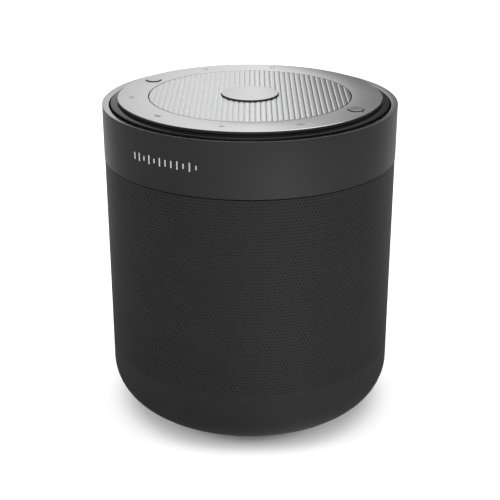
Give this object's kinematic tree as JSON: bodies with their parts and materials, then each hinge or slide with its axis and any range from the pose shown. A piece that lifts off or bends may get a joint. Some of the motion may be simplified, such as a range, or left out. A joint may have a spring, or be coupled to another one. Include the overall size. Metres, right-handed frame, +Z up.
{
  "type": "portable wireless speaker",
  "caption": "Drum-shaped portable wireless speaker with a perforated black body, rounded base, plain black top band and a raised satin metal top with a fluted disc and round buttons.",
  "frame": {"origin": "on the surface it stands on, under the middle of the round body", "axes": "+Z up the body's axis, -Y out of the front, +Y out of the back, where the sockets are, +X to the right when seen from the front"},
  "size_m": [0.1, 0.1, 0.1121],
  "materials": {
    "perforated_plastic": "fine moulded texture, perforated",
    "satin_plastic": "satin",
    "black_anodised_band": "bead blasted, anodised black, bright machined edge",
    "gloss_bezel": "polished",
    "satin_aluminium": "fine satin, clear anodised",
    "button_aluminium": "fine satin, clear anodised",
    "silicone": "matte",
    "rubber": "matte",
    "acoustic_cloth": "woven",
    "inner_plastic": "moulded",
    "circuit_board": "solder mask",
    "battery_wrap": "shrink sleeve",
    "plated_steel": "plated",
    "ferrite": "sintered",
    "paper_cone": "pressed paper",
    "copper": "wound wire",
    "brass": "turned"
  },
  "bodies": {
    "housing": {"aux_socket": "gloss_bezel", "base_cover": "satin_plastic", "base_screw_1": "plated_steel", "base_screw_2": "plated_steel", "base_screw_3": "plated_steel", "battery_pack": "battery_wrap", "charging_socket": "plated_steel", "control_board": "circuit_board", "driver_basket": "plated_steel", "driver_gasket": "rubber", "driver_screw_1": "plated_steel", "driver_screw_2": "plated_steel", "driver_screw_3": "plated_steel", "driver_screw_4": "plated_steel", "driver_spider": "acoustic_cloth", "driver_surround": "rubber", "dust_mesh": "acoustic_cloth", "electronics_tray": "inner_plastic", "enclosure_body": "inner_plastic", "enclosure_lid": "inner_plastic", "fluted_disc": "satin_aluminium", "lower_post_1": "brass", "lower_post_2": "brass", "lower_post_3": "brass", "magnet_top_plate": "plated_steel", "main_board": "circuit_board", "play_dome": "silicone", "pole_piece": "plated_steel", "port_panel": "satin_plastic", "radiator_surround": "rubber", "radio_module": "plated_steel", "ring_magnet": "ferrite", "rubber_foot": "rubber", "sound_deflector": "inner_plastic", "speaker_shell": "perforated_plastic", "top_bezel": "gloss_bezel", "top_plate": "satin_aluminium", "tray_screw_1": "plated_steel", "tray_screw_2": "plated_steel", "tray_screw_3": "plated_steel", "upper_band": "black_anodised_band", "upper_post_1": "inner_plastic", "upper_post_2": "inner_plastic", "upper_post_3": "inner_plastic", "volume_down_dome": "silicone", "volume_up_dome": "silicone"},
    "play_button_body": {"play_button": "button_aluminium"},
    "volume_up_body": {"volume_up_button": "button_aluminium"},
    "volume_down_body": {"volume_down_button": "button_aluminium"},
    "cone_body": {"driver_cone": "paper_cone", "dust_cap": "paper_cone", "voice_coil": "copper"},
    "radiator_body": {"radiator_plate": "plated_steel"}
  },
  "joints": [
    {"name": "play_button_press", "type": "slide", "parent": "housing", "child": "play_button_body", "axis": [0, 0, -1], "range_m": [0, 0.0007], "stiffness_N_per_m": 150, "springref_m": -0.01, "deforming": ["play_dome"]},
    {"name": "volume_up_press", "type": "slide", "parent": "housing", "child": "volume_up_body", "axis": [0, 0, -1], "range_m": [0, 0.0006], "stiffness_N_per_m": 20, "springref_m": -0.02, "deforming": ["volume_up_dome"]},
    {"name": "volume_down_press", "type": "slide", "parent": "housing", "child": "volume_down_body", "axis": [0, 0, -1], "range_m": [0, 0.0006], "stiffness_N_per_m": 20, "springref_m": -0.02, "deforming": ["volume_down_dome"]},
    {"name": "cone_travel", "type": "slide", "parent": "housing", "child": "cone_body", "axis": [0, 0, 1], "range_m": [-0.002, 0.002], "stiffness_N_per_m": 400},
    {"name": "radiator_travel", "type": "slide", "parent": "housing", "child": "radiator_body", "axis": [0, 0, 1], "range_m": [-0.003, 0.003], "stiffness_N_per_m": 1500}
  ]
}
